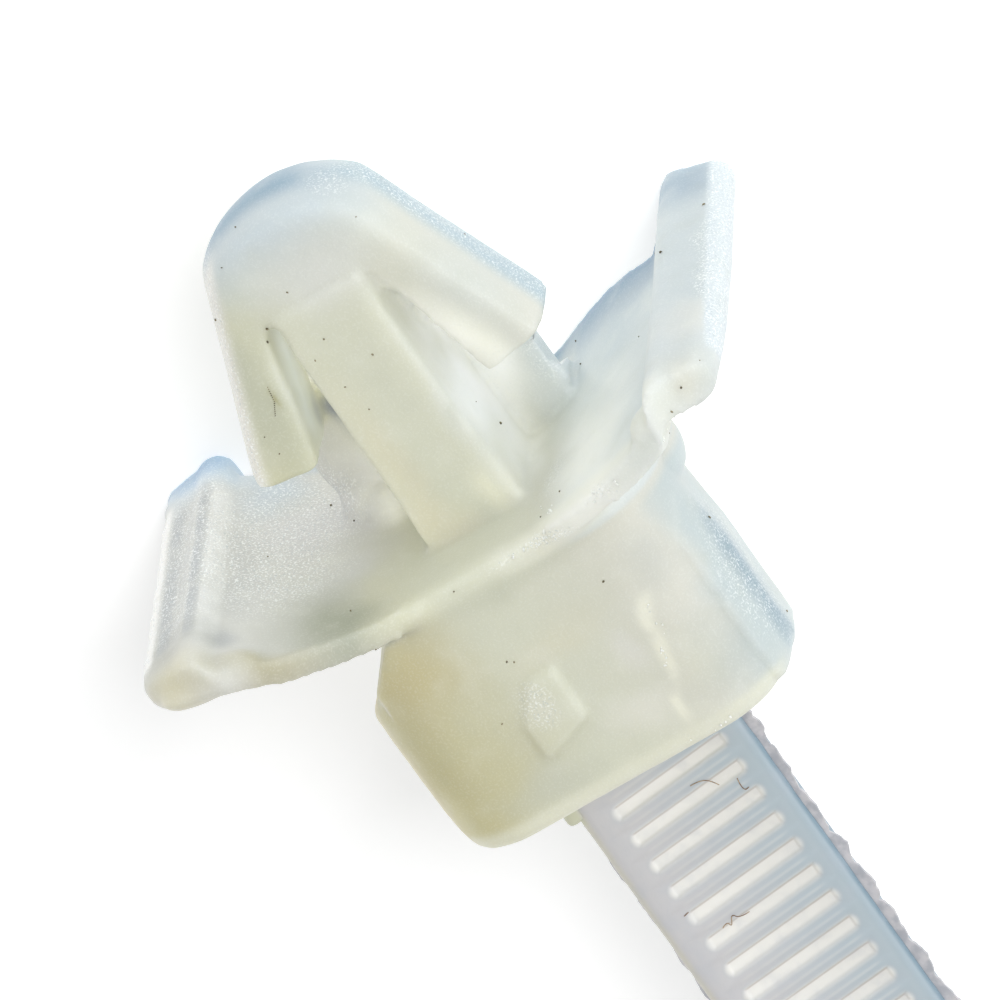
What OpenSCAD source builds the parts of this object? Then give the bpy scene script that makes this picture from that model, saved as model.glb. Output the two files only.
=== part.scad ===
// Winged push-mount cable tie, moulded in one piece
// Frame: +X is the way the arrowhead points, the wings reach along Y, and the tie lies on its back, +Z up.
// The origin is on the arrow's axis, level with the crests of the two wing beads, where a panel seats.

/* [Anchor] */
// Thickness of the arrowhead, front to back
anchor_t = 3; // [2:0.1:4]
// Diameter across the feet of the two barbs
foot_d = 8.8; // [8.2:0.1:10]
// Diameter of the cone at its shoulder, where the nose begins
shoulder_d = 4.9; // [4.2:0.1:5.8]
// Length of the barbs, from their feet to the shoulder
barb_len = 5.3; // [4.6:0.1:7]
// Radius of the domed nose
nose_r = 3.3; // [3:0.1:6]
// Clear space between the wing beads and the barb feet, for the panel
grip = 1.2; // [0.6:0.1:2.5]
// Wall of a barb at its foot
barb_foot_t = 1.7; // [1.2:0.1:2]
// Wall of a barb where it joins the nose
barb_root_t = 1.1; // [0.8:0.1:1.3]
// Solid length of the arrow, from the shoulder down to the barb gaps
nose_root = 1.7; // [1.2:0.1:2.6]
// How far a foot's inner edge hangs below its outer edge
foot_slant = 0.25; // [0:0.05:0.5]
// Width of the stem under the nose
stem_w = 2.5; // [1.8:0.1:2.8]
// Width of the stem at the wings
stem_base_w = 2.8; // [2.4:0.1:3.6]
// How far the stem stands proud of the arrowhead, front and back
stem_proud = 0.15; // [0:0.05:0.5]

/* [Rib] */
// Width of the rib behind the stem, which keeps the stem upright
rib_w = 6; // [4:0.1:7]
// Height of the rib above the flat of the wings
rib_h = 4.2; // [1.6:0.1:5.4]
// Thickness of the rib, front to back
rib_t = 1.8; // [1:0.1:2.2]
// Radius of the rib's two upper corners
rib_corner = 0.8; // [0.3:0.1:0.9]
// Clear space between the rib and the back of the barbs
rib_gap = 0.2; // [0.1:0.05:0.4]

/* [Wings] */
// Span of the two wings, tip to tip
wing_span = 16.9; // [14:0.1:22]
// Depth of a wing at its tip
wing_tip_depth = 12.1; // [11:0.1:14]
// Reach of the wings in front of the arrow's axis at the root
wing_root_front = 4.2; // [3.8:0.1:5]
// Thickness of the wing sheet
wing_t = 0.65; // [0.4:0.05:1]
// Height of the bead crests above the flat of the wings
wing_rise = 2.3; // [1.6:0.1:3]
// Reach of the wings behind the arrow's axis at the tips
wing_tip_back = 5.2; // [4.4:0.1:5.4]
// Half width of the flat at the root, before the wings rise
wing_flat = 1.6; // [1.4:0.1:2.6]
// Sag of each wing below a straight line from the flat to the bead
wing_sag = 0.3; // [0.1:0.05:0.5]
// Thickness of the bead along each wing tip
bead_t = 1.1; // [0.8:0.05:1.4]
// Width of the bead along each wing tip
bead_w = 1.95; // [1.5:0.05:2.6]
// How much lower the bead is at its outer side
bead_droop = 0.25; // [0:0.05:0.4]
// How far the bead's outer front corner is cut back
bead_cut = 1.3; // [0.2:0.1:1.8]

/* [Head] */
// Width of the head
head_w = 9.8; // [8.6:0.1:12]
// Length of the head, from the wings down to the strap
head_len = 6.5; // [6:0.1:8]
// Front face of the head, above the arrow's axis
head_front = 4; // [3.8:0.1:4.6]
// Depth of the head, front to back
head_depth = 4.5; // [4.4:0.1:5.6]
// Width of the head at its back
head_back_w = 9.2; // [8:0.1:9.8]
// Length of the wide block, from the strap up to its sloping shoulder
block_len = 4.4; // [4:0.1:5.2]
// Distance of the neck's narrower side from the arrow's axis, under the wing
neck_side = 2.6; // [2.2:0.1:4]
// Radius along the two front edges of the head
head_round = 2.1; // [1:0.1:2.6]
// Radius of the head's two lower corners
head_corner = 0.7; // [0.4:0.1:1.6]

/* [Strap] */
// Width of the strap
strap_w = 4.8; // [4:0.1:5.4]
// Thickness of the strap
strap_t = 1.15; // [0.9:0.05:1.4]
// Length of the strap along its own line, from the head to the tip
strap_len = 140; // [110:1:220]
// Height of the strap's top face above the arrow's axis
strap_top = 0.95; // [0.9:0.05:1.4]
// Straight length before the strap sinks to the surface it lies on
lead_len = 20; // [10:1:30]
// Bending radius where the strap sinks
sink_r = 120; // [80:5:200]
// Spacing of the ladder pockets
pocket_pitch = 0.87; // [0.7:0.01:1.4]
// Width of a pocket, across the strap
pocket_w = 3.5; // [2.4:0.1:3.8]
// Length of a pocket's mouth, along the strap
pocket_mouth = 0.56; // [0.3:0.02:0.65]
// Length of a pocket's floor, along the strap
pocket_floor = 0.32; // [0.1:0.02:0.4]
// Depth of a pocket
pocket_depth = 0.55; // [0.2:0.05:0.7]
// Plain strap between the head and the first pocket
pocket_start = 1.25; // [0.4:0.05:3]
// Length of the tapered tail, which has no pockets
tail_len = 24; // [15:1:40]
// Width of the strap at its tip
tip_w = 2.4; // [1.6:0.1:3.6]
// Extra width of the short step between the head and the strap
step_extra = 0.9; // [0:0.1:1.6]
// Length of that step
step_len = 0.55; // [0.2:0.05:1]

/* [Slot] */
// Sideways clearance of the strap in the slot, both sides together
slot_side_gap = 0.4; // [0.2:0.05:0.8]
// Clearance of the strap in the slot across its thickness
slot_gap = 0.3; // [0.15:0.05:0.6]
// Lean of the slot from the arrow's axis towards the back
slot_lean = 45; // [42:1:52]
// Wall between the top of the strap and the slot's mouth
slot_wall = 0.15; // [0.1:0.05:0.4]
// Width of the pawl
pawl_w = 2.6; // [1.6:0.1:3]
// Length of the pawl along the slot
pawl_len = 2.9; // [2.4:0.1:3.4]
// Thickness of the pawl
pawl_t = 0.5; // [0.35:0.05:0.6]
// Height of the pawl's teeth
pawl_tooth = 0.35; // [0.2:0.05:0.5]

/* [Gate mark] */
// Width of the rough stub left by the mould's gate
gate_w = 1.4; // [0.6:0.1:2]
// Length of that stub
gate_len = 2; // [1:0.1:2.6]
// Height of that stub
gate_h = 0.15; // [0.05:0.05:0.3]
// Distance of the stub from the head's lower end
gate_up = 2.8; // [1.8:0.1:3.6]
// Sideways place of the stub
gate_side = 0.6; // [-2:0.1:2]

/* [Hidden] */
$fn = 64;
nylon = [0.86, 0.87, 0.80];
// Overlap that fuses neighbouring regions, and the reach of a through cut
fuse = 0.2;
reach = head_w + head_len + wing_span;

// Stations along the arrow's axis
flat_top = -wing_rise;
flat_under = flat_top - wing_t;
head_low = flat_under - head_len;
ledge_x = head_low + block_len;
foot_x = grip;
shoulder_x = foot_x + barb_len;
gap_top = shoulder_x - nose_root;
nose_centre = shoulder_x - sqrt(pow(nose_r, 2) - pow(shoulder_d / 2, 2));

// Floor that the wing beads and the strap's tail lie on
floor_z = -wing_tip_depth / 2;

// The wing's middle line: an arc from the edge of the flat to the middle of the bead's inner side
bead_r = bead_t / 2;
bead_inner_y = wing_span / 2 - bead_w + bead_r;
bead_outer_y = wing_span / 2 - bead_r;
bead_edge_y = wing_span / 2 - bead_w;
bead_x = -bead_r;
flat_mid = flat_top - wing_t / 2;
wing_start = [flat_mid, wing_flat];
wing_end = [bead_x, bead_inner_y];
wing_chord = norm(wing_end - wing_start);
wing_r = pow(wing_chord, 2) / (8 * wing_sag) + wing_sag / 2;
wing_side = [wing_end[1] - wing_start[1], wing_start[0] - wing_end[0]] / wing_chord;
wing_centre = (wing_start + wing_end) / 2 + (wing_r - wing_sag) * wing_side;
function wing_mid(y) = y <= wing_flat ? flat_mid
    : wing_centre[0] - sqrt(pow(wing_r, 2) - pow(y - wing_centre[1], 2));

// The barb's inner face, from the gap's top to the foot
cone_slope = (foot_d - shoulder_d) / 2 / barb_len;
function cone_r(x) = shoulder_d / 2 + (shoulder_x - x) * cone_slope;
function face_y(x) = sqrt(pow(cone_r(x), 2) - pow(anchor_t / 2, 2));
gap_outer_y = face_y(gap_top) - barb_root_t;
foot_inner_y = face_y(foot_x) - barb_foot_t;

// The slot: its mouth is in the head's lower end, over the strap, and it leaves through the back
slot_w = strap_w + slot_side_gap;
slot_t = strap_t + slot_gap;
slot_mouth = slot_t / cos(slot_lean);
slot_z = strap_top + slot_wall + slot_mouth / 2;
head_back = head_front - head_depth;

// The strap's line: straight, then two equal arcs down to the floor, then flat
strap_drop = strap_top - strap_t - floor_z;
sink_a = acos(1 - strap_drop / (2 * sink_r));
arc_len = sink_r * sink_a * PI / 180;
ladder_len = strap_len - tail_len;
pocket_count = floor((ladder_len - pocket_start) / pocket_pitch);

function heading(s) = s < lead_len ? 0
    : s < lead_len + arc_len ? (s - lead_len) / arc_len * sink_a
    : s < lead_len + 2 * arc_len ? (2 - (s - lead_len) / arc_len) * sink_a
    : 0;
function line_point(s) = s < lead_len ? [head_low - s, 0]
    : s < lead_len + arc_len
        ? [head_low - lead_len - sink_r * sin(heading(s)), -sink_r * (1 - cos(heading(s)))]
    : s < lead_len + 2 * arc_len
        ? [head_low - lead_len - sink_r * (2 * sin(sink_a) - sin(heading(s))),
           -strap_drop + sink_r * (1 - cos(heading(s)))]
    : [head_low - lead_len - 2 * sink_r * sin(sink_a) - (s - lead_len - 2 * arc_len), -strap_drop];
// A point at distance s along the strap and depth d under its top face, as [x, z]
function strap_point(s, d) = line_point(s) + [0, strap_top] + d * [sin(heading(s)), -cos(heading(s))];

// Lays a drawing made in x and y flat, so that it stands t tall about z = 0
module plate(t) {
    translate([0, 0, -t / 2]) linear_extrude(t) children();
}

// Turns a drawing made in x and z into a slab of width w about y = 0
module slab(w) {
    rotate([90, 0, 0]) translate([0, 0, -w / 2]) linear_extrude(w) children();
}

// Rectangle between two corners
module span(x0, y0, x1, y1) {
    translate([x0, y0]) square([x1 - x0, y1 - y0]);
}

// Both halves of a drawing that is made for the left side
module both() {
    children();
    mirror([0, 1]) children();
}

// Nose and barb cone, turned about the arrow's axis
module arrow_cone() {
    nose_top = shoulder_x + nose_r / 2;
    rotate([0, 90, 0]) rotate_extrude() intersection() {
        polygon([[0, foot_x - foot_slant * foot_d / 2 / barb_foot_t], [foot_d / 2, foot_x],
                 [cone_r(nose_top), nose_top], [0, nose_top]]);
        union() {
            translate([0, nose_centre]) circle(nose_r);
            span(0, flat_top, foot_d, shoulder_x);
        }
    }
}

// Arrowhead: the cone cut to a flat slab, and opened between its barbs for the stem
module arrowhead() {
    intersection() {
        arrow_cone();
        plate(anchor_t) difference() {
            span(flat_top, -foot_d, shoulder_x + nose_r, foot_d);
            polygon([[gap_top, -gap_outer_y], [gap_top, gap_outer_y], [foot_x, foot_inner_y],
                     [flat_top - fuse, foot_inner_y], [flat_top - fuse, -foot_inner_y],
                     [foot_x, -foot_inner_y]]);
        }
    }
}

// Stem between the wings and the nose
module stem() {
    plate(anchor_t + 2 * stem_proud)
        polygon([[flat_mid, -stem_base_w / 2], [gap_top + fuse, -stem_w / 2],
                 [gap_top + fuse, stem_w / 2], [flat_mid, stem_base_w / 2]]);
}

// Rib that stands on the wings behind the stem, with round upper corners, clear of the barbs
module rib() {
    rib_top = flat_top + rib_h;
    rib_front = -anchor_t / 2 - rib_gap;
    translate([0, 0, rib_front - rib_t]) linear_extrude(rib_t) {
        polygon([[flat_mid, wing_flat], [wing_mid(rib_w / 2), rib_w / 2],
                 [rib_top - rib_corner, rib_w / 2], [rib_top - rib_corner, -rib_w / 2],
                 [wing_mid(rib_w / 2), -rib_w / 2], [flat_mid, -wing_flat]]);
        span(flat_mid, -rib_w / 2 + rib_corner, rib_top, rib_w / 2 - rib_corner);
        both() translate([rib_top - rib_corner, rib_w / 2 - rib_corner]) circle(rib_corner);
    }
    translate([0, 0, rib_front - fuse]) linear_extrude(rib_gap + 2 * fuse)
        span(flat_mid, -stem_w / 2 + fuse, rib_top - fuse, stem_w / 2 - fuse);
}

// Left wing's section: flat, rise and bead
module wing_section() {
    span(flat_under, 0, flat_top, wing_flat);
    translate(wing_start) circle(wing_t / 2);
    intersection() {
        translate(wing_centre) difference() {
            circle(wing_r + wing_t / 2, $fn = 256);
            circle(wing_r - wing_t / 2, $fn = 256);
        }
        polygon([wing_centre, 2 * wing_start - wing_centre, 2 * wing_end - wing_centre]);
    }
    translate([bead_x, bead_inner_y]) circle(bead_r);
    translate([bead_x - bead_droop, bead_outer_y]) circle(bead_r);
    polygon([[bead_x - bead_r, bead_inner_y], [bead_x + bead_r, bead_inner_y],
             [bead_x - bead_droop + bead_r, bead_outer_y], [bead_x - bead_droop - bead_r, bead_outer_y]]);
}

// Wings: the front edge falls back towards the root, and the back edge comes forward towards the beads
module wings() {
    tip_front = -floor_z - bead_cut;
    intersection() {
        plate(wing_tip_depth) both() wing_section();
        rotate([90, 0, 90]) translate([0, 0, -reach / 2]) linear_extrude(reach)
            polygon([[wing_flat, floor_z], [bead_edge_y, -wing_tip_back], [bead_edge_y, floor_z],
                     [wing_span, floor_z], [wing_span, tip_front], [wing_span / 2, tip_front],
                     [bead_edge_y, -floor_z], [wing_flat, wing_root_front], [-wing_flat, wing_root_front],
                     [-bead_edge_y, -floor_z], [-wing_span / 2, tip_front], [-wing_span, tip_front],
                     [-wing_span, floor_z], [-bead_edge_y, floor_z],
                     [-bead_edge_y, -wing_tip_back], [-wing_flat, floor_z]]);
    }
}

// Outline of the wide block from the front, with round lower corners
module block_outline() {
    span(head_low + head_corner, -head_w / 2, ledge_x, head_w / 2);
    span(head_low, -head_w / 2 + head_corner, ledge_x, head_w / 2 - head_corner);
    both() translate([head_low + head_corner, head_w / 2 - head_corner]) circle(head_corner);
}

// Outline of the neck, which ends inside the wing sheet: it slopes in on the left and stays wide on the right
module neck_outline() {
    polygon([[ledge_x - fuse, -head_w / 2], [ledge_x - fuse, head_w / 2], [ledge_x, head_w / 2],
             [wing_mid(neck_side), neck_side], [flat_mid, wing_flat], [flat_mid, -wing_flat],
             [wing_mid(head_w / 2), -head_w / 2]]);
}

// Head's outline along the arrow's axis, as [y, z]: round front edges, and narrower at the back
module head_end_outline() {
    polygon([[-head_back_w / 2, head_back], [head_back_w / 2, head_back],
             [head_w / 2, head_front - head_round], [-head_w / 2, head_front - head_round]]);
    span(-head_w / 2 + head_round, head_back, head_w / 2 - head_round, head_front);
    for (side = [-1, 1])
        translate([side * (head_w / 2 - head_round), head_front - head_round]) circle(head_round);
}

// Head: block and neck, with the slot that locks the strap's end
module head() {
    difference() {
        intersection() {
            translate([0, 0, head_back]) union() {
                linear_extrude(head_depth) block_outline();
                linear_extrude(head_depth) neck_outline();
            }
            rotate([90, 0, 90]) translate([0, 0, head_low]) linear_extrude(reach) head_end_outline();
        }
        in_slot() translate([0, 0, slot_t / 2]) cube([reach, slot_w, slot_t], center = true);
    }
    pawl();
}

// Puts its children in the slot: x runs along it from the mouth, z = 0 is its back wall
module in_slot() {
    translate([head_low, 0, slot_z]) rotate([0, slot_lean, 0]) translate([0, 0, -slot_t / 2]) children();
}

// Springy tongue that carries on from the strap's root, with two teeth that face the strap's end
module pawl() {
    in_slot() slab(pawl_w)
        polygon([[slot_t / 2, -pawl_t], [slot_t / 2, fuse / 2], [pawl_len - 2 * pocket_pitch, 0],
                 for (i = [2, 1]) each [[pawl_len - i * pocket_pitch, pawl_tooth],
                                        [pawl_len - i * pocket_pitch, 0]],
                 [pawl_len, 0], [pawl_len, -pawl_t]]);
}

// A strip of the strap between two distances along it, from its top face down to depth d
module strap_strip(s0, s1, d) {
    steps = 48;
    stations = [for (i = [0 : steps]) s0 + (s1 - s0) * i / steps];
    polygon(concat([for (s = stations) strap_point(s, 0)],
                   [for (i = [steps : -1 : 0]) strap_point(stations[i], d)]));
}

// Ladder pockets cut into the strap's top face, as one comb seen from the side
module pocket(s) {
    polygon([strap_point(s, -fuse), strap_point(s, 0), strap_point(s, pocket_depth),
             strap_point(s + pocket_floor, pocket_depth), strap_point(s + pocket_mouth, 0),
             strap_point(s + pocket_mouth, -fuse)]);
}

// Strap: step at the head, ladder and tapered tail
module strap() {
    tip_x = line_point(strap_len)[0];
    taper_x = line_point(ladder_len)[0];
    difference() {
        intersection() {
            slab(strap_w) strap_strip(0, strap_len, strap_t);
            translate([0, 0, floor_z]) linear_extrude(reach)
                polygon([[head_low, -strap_w / 2], [head_low, strap_w / 2], [taper_x, strap_w / 2],
                         [tip_x, tip_w / 2], [tip_x, -tip_w / 2], [taper_x, -strap_w / 2]]);
        }
        slab(pocket_w) for (i = [0 : pocket_count - 1]) pocket(pocket_start + i * pocket_pitch);
    }
    translate([head_low - step_len, -(strap_w + step_extra) / 2, strap_top - strap_t])
        cube([step_len + fuse, strap_w + step_extra, strap_t]);
}

// Rough stub where the mould's gate was broken off the head's front face
module gate_mark() {
    translate([head_low + gate_up, gate_side, head_front - fuse])
        linear_extrude(gate_h + fuse)
            polygon([[-gate_len / 2, gate_w / 2], [0, gate_w / 2], [gate_len / 2, 0],
                     [gate_len / 2, -gate_w / 2], [-gate_len / 4, -gate_w / 2]]);
}

// The whole tie, fused as it comes out of the mould
module cable_tie() {
    color(nylon) union() {
        arrowhead();
        stem();
        rib();
        wings();
        head();
        strap();
        gate_mark();
    }
}

cable_tie();
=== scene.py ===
import math
import random
import bpy
import bmesh
import numpy as np
from mathutils import Matrix, Vector, noise
from mathutils.bvhtree import BVHTree


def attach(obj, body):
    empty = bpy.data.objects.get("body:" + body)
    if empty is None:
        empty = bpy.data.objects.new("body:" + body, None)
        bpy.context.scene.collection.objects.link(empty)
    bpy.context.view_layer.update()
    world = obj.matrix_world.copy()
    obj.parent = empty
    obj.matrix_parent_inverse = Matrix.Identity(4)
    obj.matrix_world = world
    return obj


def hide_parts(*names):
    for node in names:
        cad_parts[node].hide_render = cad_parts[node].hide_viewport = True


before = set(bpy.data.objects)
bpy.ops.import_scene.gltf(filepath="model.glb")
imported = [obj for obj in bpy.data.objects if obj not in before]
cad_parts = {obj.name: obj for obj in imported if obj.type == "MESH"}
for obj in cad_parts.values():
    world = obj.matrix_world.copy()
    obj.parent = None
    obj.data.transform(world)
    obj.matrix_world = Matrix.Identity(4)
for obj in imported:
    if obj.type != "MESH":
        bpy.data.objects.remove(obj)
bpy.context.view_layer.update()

random.seed(41)
noise.seed_set(41)
node = bpy.data.objects["cable_tie"]


def pick(thing):
    if bpy.context.object and bpy.context.object.mode != "OBJECT":
        bpy.ops.object.mode_set(mode="OBJECT")
    bpy.ops.object.select_all(action="DESELECT")
    thing.select_set(True)
    bpy.context.view_layer.objects.active = thing


def applyMod(thing, kind, **values):
    pick(thing)
    mod = thing.modifiers.new(kind.lower(), kind)
    for name, value in values.items():
        setattr(mod, name, value)
    bpy.ops.object.modifier_apply(modifier=mod.name)


def chooseFaces(thing, rule):
    # in edit mode: selects only the faces that the rule takes
    bpy.ops.mesh.select_mode(type="FACE")
    bpy.ops.mesh.select_all(action="DESELECT")
    mesh = bmesh.from_edit_mesh(thing.data)
    for face in mesh.faces:
        if rule(face):
            face.select_set(True)
    bmesh.update_edit_mesh(thing.data)


def chooseEdges(thing, rule):
    bpy.ops.mesh.select_mode(type="EDGE")
    bpy.ops.mesh.select_all(action="DESELECT")
    mesh = bmesh.from_edit_mesh(thing.data)
    for edge in mesh.edges:
        if rule(edge):
            edge.select_set(True)
    bmesh.update_edit_mesh(thing.data)


def setMetres(thing):
    # pieces are modelled in millimetres and brought to metres at the end
    thing.data.transform(Matrix.Scale(0.001, 4))
    thing.data.update()


# Body: arrow, wings and head, from the solid, with the soft edges of the moulding
bodyForm = {
    "cutX": -10.05,      # the strap is a piece of its own from here
    "voxel": 0.115,
    "softRounds": 5,
    "roundest": 70,
    "softer": 28,
    "ripple": 0.05,
    "rippleSize": 1.6,
    # place and size of the swellings that the mould leaves where forms meet
    "swellings": (
        ((-1.0, 2.75, -2.5), (1.9, 0.75, 0.8)),
        ((-0.4, 3.05, -2.4), (1.5, 0.7, 0.8)),
        ((-1.7, 3.0, -2.0), (0.9, 0.7, 0.8)),
        ((-2.2, 2.3, -2.6), (0.7, 1.0, 0.9)),
        ((-1.9, 2.5, -1.5), (0.6, 0.7, 0.8)),
        ((-1.2, -2.95, -2.1), (0.6, 0.25, 0.5)),
        # the gap right of the stem grows deeper from its upper end
        ((4.5, -1.6, 0.9), (0.5, 0.3, 0.6)),
        ((4.6, -1.62, 0.55), (0.5, 0.3, 0.8)),
        ((4.1, -1.68, 0.1), (0.6, 0.4, 0.8)),
        ((3.5, -1.75, -0.4), (0.7, 0.5, 0.8)),
        ((2.9, -1.8, -0.9), (0.8, 0.6, 0.7)),
        ((-3.3, -4.75, 0.6), (0.8, 0.5, 1.2)),
        ((-0.9, 6.8, 5.25), (0.45, 1.4, 0.75)),
        ((-1.0, -6.2, 5.2), (0.6, 0.7, 0.7)),
    ),
    # the arrow's flank: a place on it and its slope
    "flankX": 6.5,
    "flankOut": 2.45,
    "flankSlope": (0.34, 0.94),
    # right wing: its root, the reach of its far edge and how fast that draws in
    "wingRoot": 2.3,
    "farEdge": 6.05,
    "farSlope": 0.36,
    "rightLift": 0.42,
    "rightLean": 0.22,
    "rightBow": 0.45,
    "rightTuck": 0.2,
    # right half of the rib, from its foot and its front
    "ribFoot": -1.7,
    "ribFront": -1.6,
    "ribThin": 0.5,
    "ribLow": 0.36,
    "headSwell": 0.15,
    "headWave": 0.09,
    "leftRim": 0.2,
    "beadGroove": 0.03,
    "grooveAt": 7.45,
    "grooveWide": 0.22,
}


def addSwelling(body, place, size):
    bpy.ops.object.select_all(action="DESELECT")
    bpy.ops.mesh.primitive_ico_sphere_add(subdivisions=3, radius=1, location=place, scale=size)
    lump = bpy.context.object
    bpy.ops.object.transform_apply(location=True, rotation=True, scale=True)
    lump.data.materials.append(looks["body"])
    lump.select_set(True)
    body.select_set(True)
    bpy.context.view_layer.objects.active = body
    bpy.ops.object.join()


def flankDepth(x, out):
    # 0 on the arrow's flank, less inside it
    lengthwise, sideways = bodyForm["flankSlope"]
    return (x - bodyForm["flankX"]) * lengthwise + (out - bodyForm["flankOut"]) * sideways


def farReach(out):
    # how far back the right wing reaches, this far out from the middle
    return bodyForm["farEdge"] - bodyForm["farSlope"] * (out - bodyForm["wingRoot"])


def portion(value, start, end):
    # 0 at start, 1 at end
    return min(1, max(0, (value - start) / (end - start)))


def roundest(spot):
    # front of the nose, right barb's outer edge, ledge under the wings, head's lower front edge
    if spot.x > 5.15 and spot.y > -1.6:
        return portion(spot.z, 0.0, 0.5)
    if spot.x > 0.7 and spot.y < -1.6 and flankDepth(spot.x, -spot.y) > -1.1:
        return portion(spot.z, -0.9, 0.3) * portion(spot.x, 0.9, 2.2)
    if -3.7 < spot.x < -2.2 and spot.z > 3.2 and -6.0 < spot.y < 2.4:
        return 1.0
    return 1.0 if spot.x < -8.3 and spot.z > 1.5 else 0.0


def softer(spot):
    # left bead's front end, left barb, stem's right front edge, right bead's far corner
    if spot.x < 0.7 and spot.y > 5.4 and spot.z > 4.0:
        return 1.0
    if spot.x > 0.7 and spot.y > 1.45:
        return portion(spot.z, -0.4, 0.3)
    if -2.0 < spot.x < 4.7 and -1.6 < spot.y < -0.4:
        return portion(spot.z, 0.2, 0.7)
    return 1.0 if spot.x > -1.6 and -6.9 < spot.y < -6.2 and spot.z < -4.4 else 0.0


def settleRightWing(spot, y, z):
    # raised and twisted, with its far edge drawn in straight
    form = bodyForm
    root = -form["wingRoot"]
    bead = portion(y, -6.1, -6.6)
    if z < 0:
        drawn = farReach(-y) / form["farEdge"] - 1
        spot.z *= 1 + drawn * portion(y, root, -3.1) * (1 - bead)
    spot.x += form["rightLift"] * bead * (0.5 + 0.5 * portion(z, 4, -6))
    spot.x += form["rightBow"] * math.sin(math.pi * portion(y, root, -6.6)) * portion(z, 2, -5)
    outer = portion(y, -7.2, -7.8) * portion(z, 2, 5.5)
    spot.y += form["rightLean"] * (outer - 0.6 * bead * portion(z, 0, -6))
    spot.y += form["rightTuck"] * bead * portion(z, 0, 5)


def settleRib(spot, x, y, z):
    # thinner and lower on the right
    form = bodyForm
    foot, front = form["ribFoot"], form["ribFront"]
    spot.z += form["ribThin"] * (front - z) * portion(y, -1.2, -2.0) * portion(x, foot, -1.3)
    spot.x -= form["ribLow"] * (x - foot) * portion(y, -1.8, -2.8)


def settleLeftRim(spot, y, z):
    # ragged, and worn off towards the front
    coarse = noise.noise(Vector((0, 3.1, z * 2.2)))
    fine = noise.noise(Vector((0, 1.2, z * 5.5)))
    ragged = 0.5 + 0.35 * coarse + 0.25 * fine
    spot.y += bodyForm["leftRim"] * portion(y, 7.5, 8.3) * (0.6 + ragged * portion(z, 5, 4))


def settle(spot):
    # how this tie differs from the plain form
    form = bodyForm
    x, y, z = spot
    if y < -form["wingRoot"] and -3.3 < x < 0.85:
        settleRightWing(spot, y, z)
    if x > form["ribFoot"] and -3.5 < y < -1.2 and z < form["ribFront"]:
        settleRib(spot, x, y, z)
    if x < -4 and y < -4.4:
        spot.y -= form["headSwell"] * portion(x, -4, -6)
    if x < -3 and y > 4.2:
        spot.y -= form["headWave"] * (1 + math.cos((x + 3.1) * 4.4)) * portion(x, -5.6, -4.8)
    if y > 7.5 and x > -1.6:
        settleLeftRim(spot, y, z)
    if y > 6.4 and x > -0.6:
        spot.x -= form["beadGroove"] * math.exp(-((y - form["grooveAt"]) / form["grooveWide"]) ** 2)


def makeBody():
    body = bpy.data.objects.new("tieBody", node.data.copy())
    bpy.context.scene.collection.objects.link(body)
    body.data.materials.clear()
    body.data.materials.append(looks["body"])
    body.data.transform(Matrix.Scale(1000, 4))
    pick(body)
    bpy.ops.object.mode_set(mode="EDIT")
    bpy.ops.mesh.select_all(action="SELECT")
    bpy.ops.mesh.remove_doubles(threshold=0.0005)
    bpy.ops.mesh.select_all(action="SELECT")
    bpy.ops.mesh.bisect(plane_co=(bodyForm["cutX"], 0, 0), plane_no=(1, 0, 0),
                        clear_inner=True, use_fill=True)
    bpy.ops.object.mode_set(mode="OBJECT")
    for place, size in bodyForm["swellings"]:
        addSwelling(body, place, size)
    applyMod(body, "REMESH", mode="VOXEL", voxel_size=bodyForm["voxel"])
    applyMod(body, "SMOOTH", factor=0.5, iterations=bodyForm["softRounds"])
    for name, rule in (("roundest", roundest), ("softer", softer)):
        group = body.vertex_groups.new(name=name)
        for vert in body.data.vertices:
            weight = rule(vert.co)
            if weight > 0:
                group.add([vert.index], weight, "REPLACE")
        applyMod(body, "SMOOTH", factor=0.5, iterations=bodyForm[name], vertex_group=name)
    clouds = bpy.data.textures.new("mouldRipple", "CLOUDS")
    clouds.noise_scale = bodyForm["rippleSize"]
    applyMod(body, "DISPLACE", texture=clouds, texture_coords="LOCAL",
             strength=bodyForm["ripple"], mid_level=0.5)
    body.vertex_groups.clear()
    for vert in body.data.vertices:
        settle(vert.co)
    pick(body)
    bpy.ops.object.shade_smooth()
    paintBody(body)
    addSmallShapes(body)
    setMetres(body)
    print("body", len(body.data.polygons))
    return body


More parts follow.
